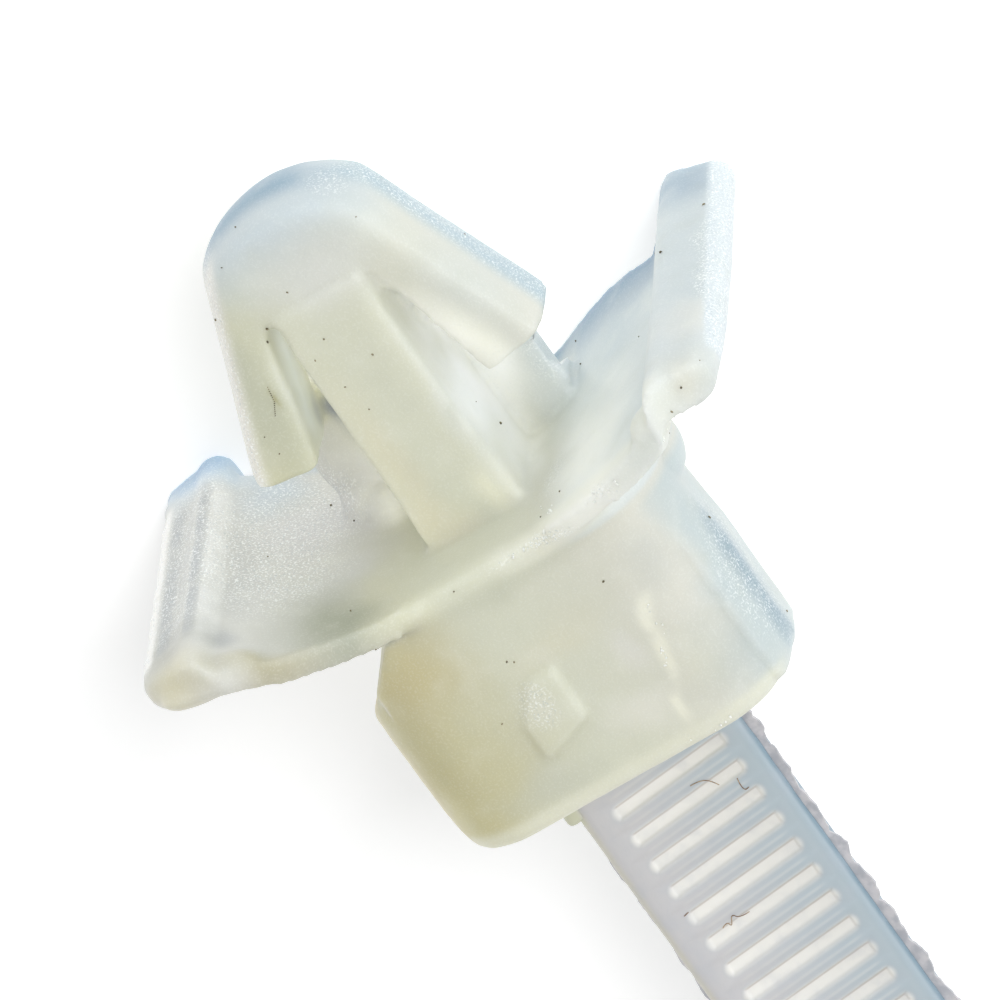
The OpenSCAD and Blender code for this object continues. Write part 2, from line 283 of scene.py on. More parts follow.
# Dust in the moulding and bright crumbs of nylon at its seams, painted white as glints
smallForm = {
    "dust": 70,
    "dustSize": (0.026, 0.055),
    "firstSize": 0.03,
    # specks seen one by one: place and size
    "named": (
        (4.87, 1.48, 1.5, 0.075), (2.98, -0.38, 1.65, 0.05), (2.6, 0.68, 1.65, 0.04), (-5.0, 0.6, 4.0, 0.05),
        (-4.9, 0.75, 4.0, 0.045), (5.45, 0.5, 1.5, 0.04), (6.7, 1.5, 1.2, 0.035), (1.9, 3.1, 1.5, 0.04),
        (3.6, 0.9, 1.65, 0.035), (-0.4, -6.9, -0.2, 0.05), (-0.4, -6.9, 1.5, 0.045), (-0.4, -7.4, 5.4, 0.06),
        (-0.7, -7.0, 5.9, 0.05), (5.6, 2.6, 1.0, 0.06), (-1.9, 3.3, -1.6, 0.05), (-2.0, -2.6, 3.0, 0.05),
    ),
    # a fine streak in the left barb, from and to, with how many specks
    "streaks": (((3.56, 2.34, 1.5), (3.15, 2.42, 1.5), 7), ((3.15, 2.42, 1.5), (2.77, 2.64, 1.5), 8)),
    "streakSize": 0.028,
    "crumbSize": (0.03, 0.07),
    "crumbStray": 0.08,
    # lines that the crumbs follow, from and to, with how many
    "crumbLines": (
        ((-2.42, -0.9, 4.25), (-2.4, -2.3, 4.45), 12),
        ((-1.95, -3.6, 4.95), (-1.6, -4.7, 5.35), 9),
        ((-1.2, -5.9, 5.85), (-0.9, -6.8, 5.7), 6),
        ((-2.6, -1.9, 2.6), (-2.3, -2.5, 3.9), 8),
        ((-5.1, -3.15, 3.95), (-6.2, -2.85, 4.0), 6),
        ((-6.6, -2.65, 4.0), (-7.2, -2.5, 4.0), 8),
        ((-9.2, -3.2, 3.9), (-9.25, -0.4, 3.95), 5),
    ),
}


def addBit(place, size, stretch):
    bpy.ops.mesh.primitive_ico_sphere_add(subdivisions=1, radius=size, location=place, scale=stretch,
                                          rotation=[random.uniform(0, 3) for _ in range(3)])


def scatterDust(mesh, tree):
    form = smallForm
    for _ in range(form["dust"]):
        place = mesh.vertices[random.randrange(len(mesh.vertices))].co
        addBit(place, random.uniform(*form["dustSize"]), (1, random.uniform(0.5, 1), 0.6))
    for x, y, z, size in form["named"]:
        addBit(tree.find_nearest(Vector((x, y, z)))[0], size, (1, 0.5, 0.6))
    for start, end, count in form["streaks"]:
        for step in range(count):
            place = Vector(start).lerp(Vector(end), step / count)
            addBit(tree.find_nearest(place)[0], form["streakSize"], (1, 0.6, 0.5))


def scatterCrumbs(mesh, tree):
    form = smallForm
    for start, end, count in form["crumbLines"]:
        for _ in range(count):
            place = Vector(start).lerp(Vector(end), random.random())
            place += Vector([random.gauss(0, form["crumbStray"]) for _ in range(3)])
            size = random.uniform(*form["crumbSize"])
            addBit(tree.find_nearest(place)[0], size, (1, random.uniform(0.4, 0.9), 0.5))


def addSmallShapes(body):
    mesh = body.data
    tree = BVHTree.FromPolygons([v.co for v in mesh.vertices], [f.vertices for f in mesh.polygons])
    # each kind starts with one bit at a vertex of the body
    for look, scatter, first in (("dust", scatterDust, 900), ("crumb", scatterCrumbs, 1800)):
        bpy.ops.object.select_all(action="DESELECT")
        start = mesh.vertices[first].co
        bpy.ops.mesh.primitive_ico_sphere_add(subdivisions=1, radius=smallForm["firstSize"], location=start)
        bits = bpy.context.object
        bpy.ops.object.transform_apply(location=True, rotation=True, scale=True)
        bpy.ops.object.mode_set(mode="EDIT")
        scatter(mesh, tree)
        bpy.ops.object.mode_set(mode="OBJECT")
        bpy.ops.object.shade_smooth()
        bits.data.materials.append(looks[look])
        pick(body)
        bits.select_set(True)
        bpy.ops.object.join()


# Strap: one ladder bar is modelled, repeated and bent along the strap's line
strapForm = {
    "headEnd": -9.45,
    "start": 0.45,       # from the head's lower end
    "firstBar": 1.56,
    "pitch": 0.87,
    "bars": 131,
    "wide": 4.8,
    "low": -0.2,
    "high": 0.95,
    "round": 0.28,
    "barLong": 3.5,
    "mouth": 0.5,
    "floor": 0.32,
    "deep": 0.09,
    "rim": 0.05,
    "tailStart": 116.0,
    "end": 139.6,
    "tailParts": 8,
    "tipWide": 2.4,
    "tipLong": 1.2,
    "tipParts": ((0.55, 0.88), (0.4, 0.72), (0.25, 0.5)),    # reach and narrowing
    "skew": 0.115,       # the bars lean near the head, and the left rail is wider there
    "skewGone": 60,
    "skewFull": 30,
    "railFrom": 1.8,
    "railMore": 0.42,
    "stepPlace": (0.78, 2.25, 0.4),
    "stepSize": (0.85, 0.72, 1.0),
    "stepRound": 0.16,
    "straight": 20.0,
    "sinkRadius": 120.0,
    "drop": 5.85,
}


def strapPoint(along, across, up):
    form = strapForm
    turn = math.acos(1 - form["drop"] / (2 * form["sinkRadius"]))
    arc = turn * form["sinkRadius"]
    if along <= form["straight"]:
        x, z, tilt = along, 0.0, 0.0
    elif along <= form["straight"] + arc:
        tilt = (along - form["straight"]) / form["sinkRadius"]
        x = form["straight"] + form["sinkRadius"] * math.sin(tilt)
        z = -form["sinkRadius"] * (1 - math.cos(tilt))
    elif along <= form["straight"] + 2 * arc:
        tilt = 2 * turn - (along - form["straight"]) / form["sinkRadius"]
        x = form["straight"] + form["sinkRadius"] * (2 * math.sin(turn) - math.sin(tilt))
        z = -form["drop"] + form["sinkRadius"] * (1 - math.cos(tilt))
    else:
        x = along - 2 * arc + 2 * form["sinkRadius"] * math.sin(turn)
        z, tilt = -form["drop"], 0.0
    rise = up - form["low"]
    return Vector((form["headEnd"] - x - rise * math.sin(tilt), across,
                   form["low"] + z + rise * math.cos(tilt)))


def makeBarCutter():
    form = strapForm
    bpy.ops.mesh.primitive_cube_add(size=1, location=(0, 0, 0))
    cutter = bpy.context.object
    bpy.ops.object.mode_set(mode="EDIT")
    bpy.ops.transform.resize(value=(form["mouth"], form["barLong"], form["deep"] * 2))
    chooseEdges(cutter, lambda e: abs(e.verts[0].co.z - e.verts[1].co.z) > 0.5)
    bpy.ops.mesh.bevel(offset=form["mouth"] * 0.49, segments=3, affect="EDGES")
    chooseFaces(cutter, lambda f: f.normal.z < -0.9)
    bpy.ops.transform.resize(value=(form["floor"] / form["mouth"], 1 - 0.18 / form["barLong"], 1))
    bpy.ops.object.mode_set(mode="OBJECT")
    cutter.data.transform(Matrix.Translation((0, 0, form["high"])))
    return cutter


flashForm = {
    "rightHeight": 0.7,
    "leftHeight": 0.3,
    "right": (0.13, 0.22),     # least reach and how much more the scallops add
    "left": (0.05, 0.07),
    "thick": 0.09,
    "root": 0.12,              # how deep it starts in the strap's side
    "wave": 0.12,
    "step": 0.11,
    "from": 0.3,
    "to": 112.0,
    "period": 1.3,
}


def scallop(along, side):
    # ragged edge of the flash: uneven bites, with fine teeth between them
    least, more = flashForm["right" if side < 0 else "left"]
    bent = along + 0.5 * noise.noise(Vector((along * 0.7, side * 3.1, 0.4)))
    bite = abs(math.sin(math.pi * bent / flashForm["period"]))
    coarse = noise.noise(Vector((along * 2.6, side * 5.3, 1.7)))
    fine = noise.noise(Vector((along * 7.0, side, 4.2)))
    swell = 0.75 + 0.45 * noise.noise(Vector((along * 0.35, side * 2.0, 8.1)))
    return max(0.02, (least + more * (bite ** 0.7)) * swell + 0.35 * more * (coarse + 0.6 * fine))


def makeFlash(strap):
    form = flashForm
    long = form["to"] - form["from"]
    for side in (-1, 1):
        bpy.ops.object.select_all(action="DESELECT")
        bpy.ops.mesh.primitive_grid_add(x_subdivisions=int(long / form["step"]), y_subdivisions=2, size=1)
        fin = bpy.context.object
        bpy.ops.object.mode_set(mode="EDIT")
        bpy.ops.transform.resize(value=(long, 1, 1))
        height = form["rightHeight" if side < 0 else "leftHeight"]
        bpy.ops.transform.translate(value=(form["from"] + long / 2, 0, height))
        bpy.ops.object.mode_set(mode="OBJECT")
        for vert in fin.data.vertices:
            out = vert.co.y + 0.5        # 0 in the strap's side, 1 at the ragged edge
            reach = out * (form["root"] + scallop(vert.co.x, side))
            vert.co.y = side * (strapForm["wide"] / 2 - form["root"] + reach)
            vert.co.z += form["wave"] * noise.noise(Vector((vert.co.x * 1.1, side * 4.0, 2.2))) * out
        applyMod(fin, "SOLIDIFY", thickness=form["thick"], offset=0)
        pick(fin)
        bpy.ops.object.mode_set(mode="EDIT")
        bpy.ops.mesh.select_all(action="SELECT")
        bpy.ops.mesh.normals_make_consistent(inside=False)
        bpy.ops.object.mode_set(mode="OBJECT")
        fin.data.materials.append(looks["flash"])
        pick(strap)
        fin.select_set(True)
        bpy.ops.object.join()


fibreForm = {
    "thick": 0.013,
    "paths": (
        ((-11.49, -0.3), (-11.48, -0.49), (-11.55, -0.71), (-11.7, -0.85), (-11.85, -0.93)),
        ((-11.93, -1.41), (-12.13, -1.37), (-12.35, -1.4), (-12.29, -1.52)),
        ((-15.31, 1.19), (-15.2, 1.0), (-15.42, 0.97), (-15.07, 0.8), (-15.3, 0.68), (-15.27, 0.37)),
        ((-14.51, 1.83), (-14.47, 1.68)),
    ),
}


def addFibres(strap):
    # short brown hairs that cling to the strap
    for path in fibreForm["paths"]:
        line = bpy.data.curves.new("fibre", "CURVE")
        line.dimensions = "3D"
        line.bevel_depth = fibreForm["thick"] * 0.001
        line.bevel_resolution = 1
        spline = line.splines.new("NURBS")
        spline.points.add(len(path) - 1)
        for point, (x, y) in zip(spline.points, path):
            point.co = (x * 0.001, y * 0.001, (strapForm["high"] + 0.012) * 0.001, 1)
        spline.use_endpoint_u = True
        spline.order_u = 3
        spline.resolution_u = 6
        hair = bpy.data.objects.new("fibre", line)
        bpy.context.scene.collection.objects.link(hair)
        pick(hair)
        bpy.ops.object.convert(target="MESH")
        hair.data.materials.append(looks["fibre"])
        pick(strap)
        hair.select_set(True)
        bpy.ops.object.join()


def addStep(strap):
    # short wider step on the left, where the strap leaves the head
    bpy.ops.object.select_all(action="DESELECT")
    bpy.ops.mesh.primitive_cube_add(size=1, location=strapForm["stepPlace"], scale=strapForm["stepSize"])
    step = bpy.context.object
    bpy.ops.object.transform_apply(location=True, rotation=True, scale=True)
    applyMod(step, "BEVEL", width=strapForm["stepRound"], segments=3)
    step.data.materials.append(looks["strap"])
    pick(strap)
    step.select_set(True)
    bpy.ops.object.join()


def makeStrap():
    form = strapForm
    bpy.ops.mesh.primitive_cube_add(size=1, location=(0, 0, 0))
    strap = bpy.context.object
    strap.name = "tieStrap"
    strap.data.materials.append(looks["strap"])
    thick = form["high"] - form["low"]
    bpy.ops.object.mode_set(mode="EDIT")
    bpy.ops.transform.resize(value=(form["pitch"], form["wide"], thick))
    bpy.ops.transform.translate(value=(0, 0, (form["high"] + form["low"]) / 2))
    chooseEdges(strap, lambda e: abs(e.verts[0].co.x - e.verts[1].co.x) > 0.5)
    bpy.ops.mesh.bevel(offset=form["round"], segments=3, affect="EDGES")
    bpy.ops.object.mode_set(mode="OBJECT")
    cutter = makeBarCutter()
    applyMod(strap, "BOOLEAN", operation="DIFFERENCE", object=cutter, solver="EXACT")
    bpy.data.objects.remove(cutter)
    pick(strap)
    bpy.ops.object.mode_set(mode="EDIT")
    cutEnd = form["pitch"] * 0.49
    chooseFaces(strap, lambda f: abs(f.normal.x) > 0.99 and abs(f.calc_center_median().x) > cutEnd)
    bpy.ops.mesh.delete(type="FACE")
    bpy.ops.object.mode_set(mode="OBJECT")
    # along the strap is +X until it is bent
    strap.data.transform(Matrix.Translation((form["firstBar"], 0, 0)))
    applyMod(strap, "ARRAY", count=form["bars"], use_relative_offset=False, use_constant_offset=True,
             constant_offset_displace=(form["pitch"], 0, 0), use_merge_vertices=True, merge_threshold=0.002)
    applyMod(strap, "BEVEL", width=form["rim"], segments=1, limit_method="ANGLE",
             angle_limit=math.radians(42))
    pick(strap)
    bpy.ops.object.mode_set(mode="EDIT")
    startX = form["firstBar"] - form["pitch"] / 2
    endX = startX + form["pitch"] * form["bars"]
    chooseEdges(strap, lambda e: e.is_boundary and all(abs(v.co.x - startX) < 0.01 for v in e.verts))
    bpy.ops.mesh.extrude_region_move(TRANSFORM_OT_translate={"value": (form["start"] - startX, 0, 0)})
    bpy.ops.mesh.edge_face_add()
    chooseEdges(strap, lambda e: e.is_boundary and all(abs(v.co.x - endX) < 0.01 for v in e.verts))
    bpy.ops.mesh.extrude_region_move(TRANSFORM_OT_translate={"value": (form["tailStart"] - endX, 0, 0)})
    narrowing = form["tipWide"] - form["wide"]
    step = (form["end"] - form["tailStart"] - form["tipLong"]) / form["tailParts"]
    for part in range(form["tailParts"]):
        now = form["wide"] + narrowing * part / form["tailParts"]
        after = form["wide"] + narrowing * (part + 1) / form["tailParts"]
        bpy.ops.mesh.extrude_region_move(TRANSFORM_OT_translate={"value": (step, 0, 0)})
        bpy.ops.transform.resize(value=(1, after / now, 1))
    for reach, squeeze in form["tipParts"]:
        bpy.ops.mesh.extrude_region_move(TRANSFORM_OT_translate={"value": (reach, 0, 0)})
        bpy.ops.transform.resize(value=(1, squeeze, 0.9))
    bpy.ops.mesh.edge_face_add()
    bpy.ops.mesh.select_all(action="SELECT")
    bpy.ops.mesh.normals_make_consistent(inside=False)
    bpy.ops.object.mode_set(mode="OBJECT")
    makeFlash(strap)
    addStep(strap)
    # distance along the strap, which the nylon's bars follow
    along = strap.data.attributes.new("along", "FLOAT", "POINT")
    for vert in strap.data.vertices:
        along.data[vert.index].value = vert.co.x
        near = portion(vert.co.x, form["skewGone"], form["skewFull"])
        lean = form["skew"] * near
        if vert.co.y > form["railFrom"]:
            vert.co.y += form["railMore"] * near * (vert.co.y - form["railFrom"])
        vert.co = strapPoint(vert.co.x + lean * vert.co.y, vert.co.y, vert.co.z)
    pick(strap)
    bpy.ops.object.shade_smooth_by_angle(angle=math.radians(38))
    setMetres(strap)
    print("strap", len(strap.data.polygons))
    return strap


lightTint = (1.0, 0.985, 0.965)    # the studio's light is a little blue, and the nylon's tones allow for it


def tone(*screen):
    made = []
    for value, tint in zip(screen, lightTint):
        share = value / 255
        made.append((share / 12.92 if share <= 0.04045 else ((share + 0.055) / 1.055) ** 2.4) * tint)
    return (*made, 1)


def startMaterial(name, clear=0.7, reach=0.0012):
    mat = bpy.data.materials.new(name)
    mat.use_nodes = True
    shader = mat.node_tree.nodes["Principled BSDF"]
    shader.inputs["Roughness"].default_value = 0.36
    shader.inputs["IOR"].default_value = 1.53
    shader.inputs["Subsurface Weight"].default_value = clear
    shader.inputs["Subsurface Radius"].default_value = (1.0, 0.98, 0.9)
    shader.inputs["Subsurface Scale"].default_value = reach
    return mat, mat.node_tree, shader


def addNode(tree, kind, **values):
    made = tree.nodes.new(kind)
    for name, value in values.items():
        setattr(made, name, value)
    return made


def plug(tree, socket, value):
    if isinstance(value, bpy.types.NodeSocket):
        tree.links.new(value, socket)
    else:
        socket.default_value = value


def mixColour(tree, factor, first, second):
    mix = addNode(tree, "ShaderNodeMix", data_type="RGBA")
    for socket, value in ((mix.inputs[0], factor), (mix.inputs[6], first), (mix.inputs[7], second)):
        plug(tree, socket, value)
    return mix.outputs[2]


def sums(tree, operation, first, second):
    made = addNode(tree, "ShaderNodeMath", operation=operation)
    plug(tree, made.inputs[0], first)
    plug(tree, made.inputs[1], second)
    return made.outputs[0]


def both(tree, *masks):
    made = masks[0]
    for other in masks[1:]:
        made = sums(tree, "MULTIPLY", made, other)
    return made


def fade(tree, value, start, end):
    # 0 at start, 1 at end, with soft ends
    span = addNode(tree, "ShaderNodeMapRange", interpolation_type="SMOOTHSTEP")
    plug(tree, span.inputs[0], value)
    span.inputs["From Min"].default_value = start
    span.inputs["From Max"].default_value = end
    return span.outputs[0]


def millimetres(tree):
    coords = addNode(tree, "ShaderNodeTexCoord")
    scale = addNode(tree, "ShaderNodeVectorMath", operation="SCALE")
    scale.inputs["Scale"].default_value = 1000
    tree.links.new(coords.outputs["Object"], scale.inputs[0])
    return scale.outputs[0]


def axes(tree, place):
    split = addNode(tree, "ShaderNodeSeparateXYZ")
    tree.links.new(place, split.inputs[0])
    return split.outputs


def wobble(tree, place, scale, reach):
    # the same places, pushed about by soft noise
    drift = addNode(tree, "ShaderNodeTexNoise")
    drift.inputs["Scale"].default_value = scale
    drift.inputs["Detail"].default_value = 2
    tree.links.new(place, drift.inputs["Vector"])
    centred = addNode(tree, "ShaderNodeVectorMath", operation="SUBTRACT")
    centred.inputs[1].default_value = (0.5, 0.5, 0.5)
    tree.links.new(drift.outputs["Color"], centred.inputs[0])
    moved = addNode(tree, "ShaderNodeVectorMath", operation="MULTIPLY_ADD")
    tree.links.new(centred.outputs[0], moved.inputs[0])
    moved.inputs[1].default_value = (reach, reach, reach)
    tree.links.new(place, moved.inputs[2])
    return moved.outputs[0]


def cloud(tree, place, scale, low, high, detail=2.0):
    grain = addNode(tree, "ShaderNodeTexNoise")
    grain.inputs["Scale"].default_value = scale
    grain.inputs["Detail"].default_value = detail
    tree.links.new(place, grain.inputs["Vector"])
    return fade(tree, grain.outputs["Fac"], low, high)


def bump(tree, shader, height, strength, depth):
    made = addNode(tree, "ShaderNodeBump")
    plug(tree, made.inputs["Strength"], strength)
    made.inputs["Distance"].default_value = depth * 0.001
    tree.links.new(height, made.inputs["Height"])
    tree.links.new(made.outputs[0], shader.inputs["Normal"])


def ramp(value, start, end):
    share = np.clip((value - start) / (end - start), 0, 1)
    return share * share * (3 - 2 * share)


def patchAt(spots, centre, size, turn=0.0, soft=1.0):
    # 1 in the middle of an ellipsoid, 0 outside it
    away = spots - np.array(centre)
    across, beside = math.cos(turn), math.sin(turn)
    local = np.stack((away[:, 0] * across + away[:, 1] * beside,
                      away[:, 1] * across - away[:, 0] * beside, away[:, 2]), axis=1)
    return ramp(np.linalg.norm(local / np.array(size), axis=1), 1.0, 1.0 - soft)


def driftAt(spots, scale, reach):
    # the same places, pushed about by soft noise
    push = np.array([noise.noise_vector(Vector(spot) * scale) for spot in spots])
    return spots + push * reach


def lay(colours, mask, shade):
    colours += mask[:, None] * (np.array(shade[:3]) - colours)


# tones of the milky nylon, with painted light and shade among them, each in an ellipsoid: centre, half
# sizes, turn, tone, share
bodyTones = (
    ((5.6, -0.4, 1.5), (1.8, 2.4, 3.0), 0.0, (215, 217, 213), 0.8),      # middle of the arrow
    ((3.4, -3.3, 1.5), (3.8, 1.5, 3.0), 0.0, (203, 207, 202), 0.9),      # right barb
    ((2.0, -2.55, 1.5), (2.8, 0.9, 1.4), 0.37, (240, 241, 231), 0.95),   # its inner edge
    ((3.2, 2.9, 1.5), (3.4, 1.7, 3.0), 0.0, (187, 190, 172), 0.8),       # left barb
    ((4.6, 3.0, 1.5), (1.4, 0.9, 1.6), 0.0, (178, 182, 168), 0.6),       # its upper end
    ((3.15, 2.5, 1.5), (0.6, 0.12, 0.5), -0.36, (160, 156, 106), 0.7),   # streak in it
    ((0.0, 0.9, 1.7), (4.5, 0.8, 0.8), 0.0, (214, 210, 187), 0.6),       # warm left side of the stem
    ((-1.8, 0.7, 1.7), (1.3, 1.1, 0.8), 0.0, (217, 212, 188), 0.5),      # its foot
    ((-1.6, -0.9, 1.6), (1.2, 0.8, 0.8), 0.0, (228, 228, 210), 0.8),
    ((1.0, -1.3, 1.3), (3.6, 0.7, 0.9), 0.0, (216, 220, 216), 0.8),      # its right front edge
    # painted light, as through the nylon, on the stem's shaded right side
    ((0.2, -1.4, 0.3), (1.9, 0.5, 1.0), 0.0, (236, 239, 236), 0.9),
    ((3.9, -1.65, 0.6), (1.6, 0.55, 1.3), 0.1, (240, 243, 243), 1.0),    # upper end of the gap beside it: painted light, as through the nylon
    ((0.6, -1.5, -0.5), (5.6, 0.9, 3.2), 0.0, (246, 249, 251), 1.0),     # its right side: painted light, as through the nylon
    ((1.4, -1.9, -1.2), (5.0, 1.0, 1.2), 0.0, (251, 252, 253), 1.0),
    ((0.8, -1.2, 1.5), (3.8, 0.4, 0.5), 0.0, (196, 199, 188), 0.8),      # its edge: painted shade
    ((2.7, 2.0, 0.1), (3.2, 0.7, 2.0), -0.23, (244, 250, 252), 1.0),     # inner side of the left barb: painted light, as through the nylon
    ((-1.0, 2.8, -2.2), (3.2, 1.6, 1.7), 0.0, (253, 254, 252), 1.0),     # rib, left: painted light, as through the nylon
    ((-1.8, 2.4, -1.4), (1.0, 0.9, 1.2), 0.0, (246, 247, 240), 0.95),    # its foot: painted light, as through the nylon
    ((0.8, 2.1, -1.8), (1.1, 0.6, 1.0), 0.3, (118, 128, 152), 0.95),     # painted shadow of the stem beside it
    ((1.3, 2.0, -1.1), (0.9, 0.7, 0.9), 0.0, (136, 144, 162), 0.9),
    ((-0.4, -2.9, -2.2), (2.4, 1.2, 1.4), 0.0, (250, 251, 253), 0.95),   # rib, right: painted light, as through the nylon
    ((-7.4, 5.4, 3.0), (5.2, 6.0, 7.0), 0.0, (191, 185, 142), 1.0),      # deep nylon on the left of the head: its warm tint, darkened as painted shade on the side away from the light
    ((-4.0, 3.2, 4.0), (2.4, 2.6, 2.0), 0.0, (193, 184, 142), 0.8),
    ((-8.4, 4.2, 3.2), (1.6, 1.4, 1.6), 0.0, (204, 200, 160), 0.8),
    ((-6.2, -1.95, 4.0), (0.9, 0.7, 1.0), 0.3, (216, 216, 210), 0.7),    # the slot shows through
    ((-7.8, -1.4, 4.0), (0.8, 1.7, 1.0), 0.1, (222, 222, 213), 0.7),
    ((-5.1, -0.5, 4.0), (0.9, 2.2, 1.0), 0.2, (211, 209, 188), 0.6),
    ((-7.4, -3.4, 4.0), (1.6, 1.0, 1.0), 0.0, (212, 212, 196), 0.7),
    ((-8.4, 1.5, 4.0), (0.9, 2.4, 1.0), 0.0, (195, 198, 184), 0.7),
    ((-3.0, -0.6, 4.1), (0.7, 2.6, 0.9), 0.0, (198, 201, 184), 0.7),     # ledge under the wings: painted shade
    ((-8.0, -4.2, 3.4), (2.4, 1.8, 1.8), 0.0, (182, 190, 188), 0.75),    # head's lower right edge
    ((-2.3, -2.2, -5.4), (1.1, 1.2, 1.4), 0.0, (112, 144, 168), 0.9),    # right wing's root, far end: painted cool shade of the blue sky light
    ((-6.35, 0.85, 4.1), (1.0, 0.75, 0.7), 0.55, (214, 215, 202), 0.9),  # broken gate
    ((-4.4, -3.9, 4.0), (1.3, 1.2, 1.2), 0.0, (192, 195, 190), 0.7),     # head's upper right edge
)
# tones of the wings, with painted light and shade among them: centre, half sizes, turn, tone, share
wingTones = (
    ((-2.0, 3.4, 3.9), (2.0, 3.6, 3.2), 0.0, (152, 156, 136), 0.95),     # grey-green band by the front edge
    ((-1.4, 4.4, -1.6), (1.6, 2.2, 2.4), 0.0, (207, 208, 210), 0.8),
    ((-0.9, 5.6, -4.2), (1.2, 1.6, 2.4), 0.0, (186, 200, 212), 0.7),     # blue towards its far edge: painted cool shade of the blue sky light
    ((-1.7, 3.0, -1.8), (0.8, 0.8, 1.0), 0.0, (240, 241, 234), 0.9),     # foot of the rib: painted light, as through the nylon
    ((-2.2, 2.6, 2.6), (1.2, 1.6, 2.0), 0.0, (208, 207, 184), 0.7),      # left root
    ((-1.8, -3.4, 2.2), (2.2, 3.6, 5.0), 0.0, (240, 243, 239), 1.0),     # right root: painted light, as through the nylon
    ((-1.9, -3.8, 4.6), (1.4, 3.0, 1.4), 0.0, (238, 241, 236), 0.95),
    ((-1.2, -4.8, -1.5), (1.2, 1.4, 2.0), 0.0, (180, 194, 202), 0.5),    # right middle
    ((-0.3, 7.2, -5.4), (1.2, 2.0, 2.0), 0.0, (198, 217, 234), 0.9),     # left bead, far end: painted cool shade of the blue sky light
    ((-0.4, 7.2, -6.1), (1.8, 2.6, 1.5), 0.0, (128, 164, 196), 1.0),
    ((-1.4, 4.6, -6.1), (1.8, 2.6, 1.6), 0.0, (146, 176, 200), 0.9),     # left far edge: painted cool shade of the blue sky light
    ((-0.4, 7.8, 5.4), (1.6, 2.0, 1.4), 0.0, (207, 203, 176), 0.8),      # left bead, front end
    ((-0.5, 7.1, 3.9), (1.2, 1.7, 1.0), 0.0, (172, 176, 177), 0.7),      # painted shadow where its ridge ends
    ((-0.6, 6.4, 4.1), (0.9, 0.7, 0.7), 0.0, (160, 164, 168), 0.5),
    ((-0.8, 6.0, 0.5), (1.2, 0.9, 4.0), 0.0, (186, 188, 186), 0.7),      # beside the left bead
    ((-0.3, 7.7, 3.8), (1.2, 1.6, 1.8), 0.0, (170, 170, 158), 0.8),
    ((-1.4, 5.0, 5.5), (1.8, 4.2, 0.8), 0.0, (174, 170, 146), 0.95),     # left front edge
    ((-0.1, -7.4, -5.6), (1.2, 1.8, 2.6), 0.0, (136, 160, 180), 0.95),   # right bead, far end: painted cool shade of the blue sky light
    ((-0.4, -7.4, 5.2), (1.4, 1.5, 2.2), 0.0, (206, 206, 196), 0.9),     # right bead, front end
    ((-0.9, -6.4, 5.2), (0.8, 0.8, 0.9), 0.0, (198, 201, 194), 0.8),     # its foot
    ((-0.4, -7.6, 2.6), (1.4, 1.5, 2.0), 0.0, (216, 216, 210), 0.7),
)
# stripes of the left bead, painted highlights and shade of its ridges: middle, half width, tone, share
beadRidgeShading = (
    (7.85, 0.34, (160, 165, 168), 0.8),
    (7.4, 0.3, (190, 192, 190), 0.8),
    (6.98, 0.22, (162, 167, 172), 0.8),
    (6.6, 0.27, (226, 228, 228), 0.7),
)
# where the mould was rough: bumps there, and painted glints: centre, half sizes, turn, share
roughPlaces = (
    ((-1.0, 5.2, -1.2), (2.0, 3.0, 5.4), 0.0, 1.0),
    ((-0.3, 7.4, -1.0), (1.2, 1.9, 6.4), 0.0, 1.0),
    ((0.0, -8.4, -0.6), (1.1, 0.6, 6.4), 0.0, 1.0),
    ((-6.8, -4.9, 1.5), (3.2, 0.7, 2.4), 0.0, 0.9),
    ((7.0, -1.7, 0.3), (0.6, 0.9, 1.2), 0.0, 0.7),
    ((-2.5, -1.9, 4.3), (0.3, 1.9, 0.5), 0.0, 1.0),
    ((-1.9, -4.2, 5.0), (0.4, 1.2, 0.6), -0.3, 0.7),
    ((-0.4, -2.9, -2.0), (1.6, 0.8, 1.0), 0.0, 0.5),
    ((-6.3, 0.9, 4.1), (0.9, 0.75, 0.5), 0.0, 0.7),
    ((-2.6, -2.4, 2.2), (0.8, 0.8, 2.4), 0.0, 0.6),
)


def layMilkAndShade(wavy):
    # right to left: clear, milky, then warmer and darker, partly the nylon's own tint and partly painted
    # shade on the side away from the light; cool towards the nose, painted cool shade of the blue sky light
    x, y = wavy[:, 0], wavy[:, 1]
    colours = np.tile(np.array(tone(210, 210, 202)[:3]), (len(wavy), 1))
    lay(colours, ramp(y, -5.0, 0.5), tone(208, 210, 193))
    lay(colours, ramp(y, 0.0, 5.0), tone(196, 195, 166))
    lay(colours, ramp(x, 4.8, 7.2) * 0.9, tone(192, 203, 210))
    for centre, size, turn, shade, share in bodyTones:
        lay(colours, patchAt(wavy, centre, size, turn) * share, tone(*shade))
    return colours


def layFlanks(colours, spots, wavy):
    # flanks of the arrow, with the right flank and the blue rim of its nose painted as cool shade of the
    # blue sky light; gives back where the flanks are rough
    plainX, plainY, plainZ = spots.T
    y = wavy[:, 1]
    arrow = ramp(plainX, 0.6, 0.9)
    right = flankDepth(plainX, -plainY)
    left = flankDepth(plainX, plainY)
    deep = arrow * ramp(plainZ, 0.7, -0.2)      # away from the front face
    lay(colours, deep * ramp(right, -0.8, -0.2) * ramp(y, 0, -1), tone(168, 188, 198))
    lay(colours, arrow * ramp(left, -0.65, -0.25) * ramp(y, 1, 2) * 0.9, tone(228, 227, 222))
    noseSkyShade = ramp(plainX, 6.2, 7.2) * ramp(plainZ, 1.0, 0.1) * ramp(y, -2.2, -0.4)
    lay(colours, noseSkyShade, tone(140, 166, 184))
    roughRight = deep * ramp(right, -0.7, -0.2) * ramp(y, 0, -1.5)
    return roughRight + arrow * ramp(left, -0.6, -0.25) * ramp(y, 1, 2)


